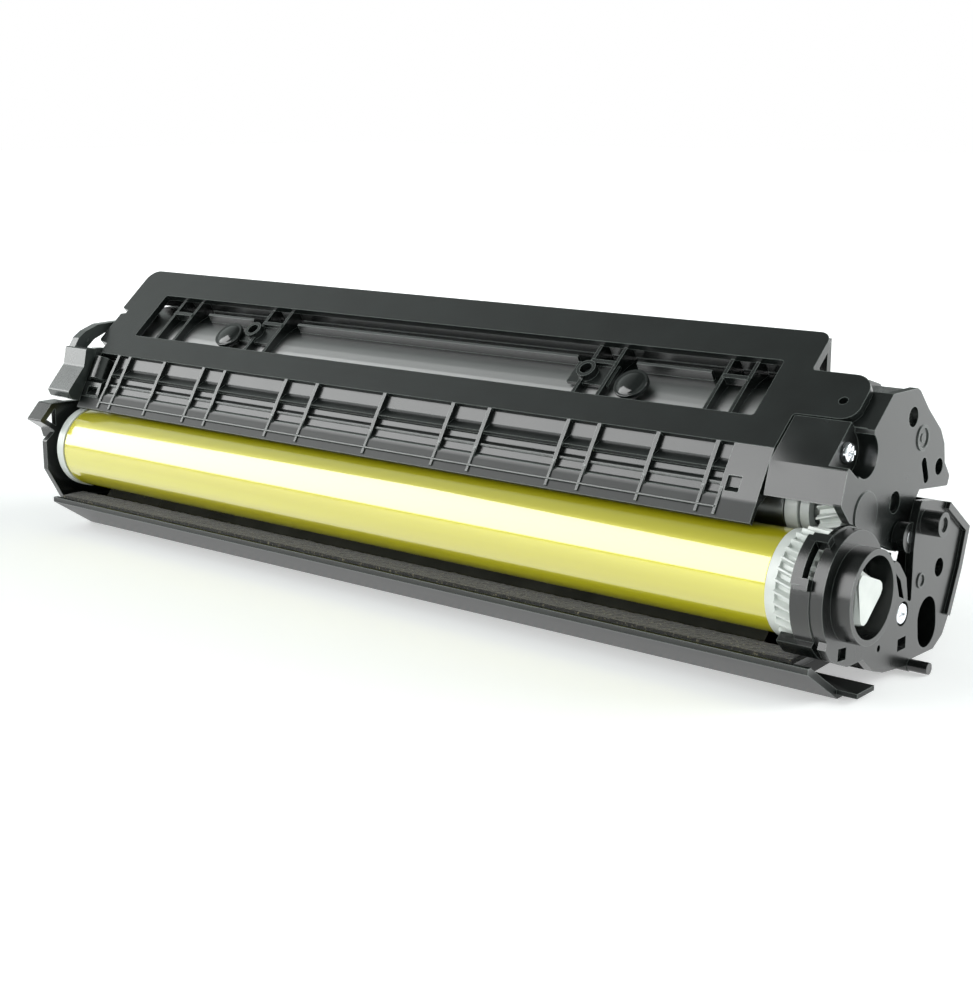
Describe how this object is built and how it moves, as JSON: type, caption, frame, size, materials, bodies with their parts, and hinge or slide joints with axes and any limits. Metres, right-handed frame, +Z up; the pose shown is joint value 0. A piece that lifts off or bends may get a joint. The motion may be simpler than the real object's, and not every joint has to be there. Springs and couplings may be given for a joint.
{
  "type": "toner cartridge",
  "caption": "Laser toner cartridge: exposed green drum in a black frame, with a louvred toner hopper above it, gears, and a round drive collar at one end.",
  "frame": {"origin": "on the drum's axis, at the outer mouth of the drive collar", "axes": "+X along the drum axis out of the drive end, +Z up, -Y the way the bare drum faces"},
  "size_m": [0.2808, 0.073, 0.0775],
  "materials": {
    "drum_shell": "fine moulded texture, slight sheen",
    "hopper_shell": "fine moulded texture, slight sheen",
    "grey_block": "fine moulded texture, slight sheen",
    "drum_coating": "aluminium tube under a glossy yellow-green photoconductive coat",
    "white_plastic": "moulded acetal, soft gloss",
    "axle_steel": "ground steel",
    "charge_rubber": "matte conductive rubber",
    "blade_rubber": "satin polyurethane",
    "blade_sheet": "zinc-plated sheet",
    "screw_chrome": "bright plated",
    "spring_steel": "drawn wire",
    "felt": "needled felt",
    "clear_film": "thin polyester film",
    "sleeve_aluminium": "blasted, dusted with toner",
    "magnet": "ferrite roller on a steel shaft"
  },
  "bodies": {
    "drum_unit": {"waste_bin": "drum_shell", "drive_end_bracket": "drum_shell", "free_end_bracket": "drum_shell", "drum_axle": "axle_steel", "felt_strip": "felt", "recovery_film": "clear_film", "cleaning_blade": "blade_rubber", "cleaning_blade_bracket": "blade_sheet", "blade_screws": "screw_chrome", "charge_saddle_drive": "white_plastic", "charge_saddle_free": "white_plastic", "charge_spring_drive": "spring_steel", "charge_spring_free": "spring_steel", "hinge_pin_drive": "axle_steel", "hinge_pin_free": "axle_steel", "bracket_screw_drive": "screw_chrome", "bracket_screws_free": "screw_chrome", "pressure_spring_drive": "spring_steel", "pressure_spring_free": "spring_steel"},
    "drum": {"drum_tube": "drum_coating", "drive_flange": "white_plastic", "free_flange": "white_plastic"},
    "charge_roller": {"charge_roller_shaft": "axle_steel", "charge_roller_sleeve": "charge_rubber"},
    "toner_unit": {"toner_hopper": "hopper_shell", "front_cover": "hopper_shell", "drive_end_cap": "hopper_shell", "free_end_cap": "grey_block", "fill_plug": "white_plastic", "cap_screw_drive": "screw_chrome", "cap_screws_free": "screw_chrome", "developer_bearing_drive": "white_plastic", "developer_bearing_free": "white_plastic", "doctor_blade": "blade_rubber", "doctor_bracket": "blade_sheet", "developer_lip_film": "clear_film", "magnet_core": "magnet"},
    "developer_roller": {"developer_sleeve": "sleeve_aluminium", "sleeve_journal_drive": "sleeve_aluminium", "sleeve_journal_free": "sleeve_aluminium", "spacer_ring_drive": "white_plastic", "spacer_ring_free": "white_plastic", "developer_gear": "white_plastic"},
    "idler": {"idler_gear": "white_plastic"},
    "agitator": {"agitator_shaft": "axle_steel", "agitator_film": "clear_film", "agitator_gear": "white_plastic"}
  },
  "joints": [
    {"name": "drum_spin", "type": "hinge", "parent": "drum_unit", "child": "drum", "pos_m": [0, 0, 0], "axis": [1, 0, 0], "continuous": true},
    {"name": "charge_spin", "type": "hinge", "parent": "drum_unit", "child": "charge_roller", "pos_m": [-0.144, 0.01409, -0.00881], "axis": [1, 0, 0], "continuous": true},
    {"name": "unit_hinge", "type": "hinge", "parent": "drum_unit", "child": "toner_unit", "pos_m": [-0.144, 0.0285, 0.007], "axis": [1, 0, 0], "range_deg": [-1, 0], "stiffness_Nm_per_rad": 2, "springref_deg": 2.86, "deforming": ["pressure_spring_drive", "pressure_spring_free"]},
    {"name": "developer_spin", "type": "hinge", "parent": "toner_unit", "child": "developer_roller", "pos_m": [-0.144, 0.01187, 0.01509], "axis": [1, 0, 0], "continuous": true},
    {"name": "idler_spin", "type": "hinge", "parent": "toner_unit", "child": "idler", "pos_m": [-0.016, 0.02627, 0.01534], "axis": [1, 0, 0], "continuous": true},
    {"name": "agitator_spin", "type": "hinge", "parent": "toner_unit", "child": "agitator", "pos_m": [-0.144, 0.03457, 0.02759], "axis": [1, 0, 0], "continuous": true}
  ],
  "couplings": [
    {"joint": "charge_spin", "follows": "drum_spin", "ratio": -2.6667},
    {"joint": "developer_spin", "follows": "drum_spin", "ratio": -1.8235},
    {"joint": "idler_spin", "follows": "drum_spin", "ratio": 1.6316},
    {"joint": "agitator_spin", "follows": "drum_spin", "ratio": -1.7222}
  ]
}
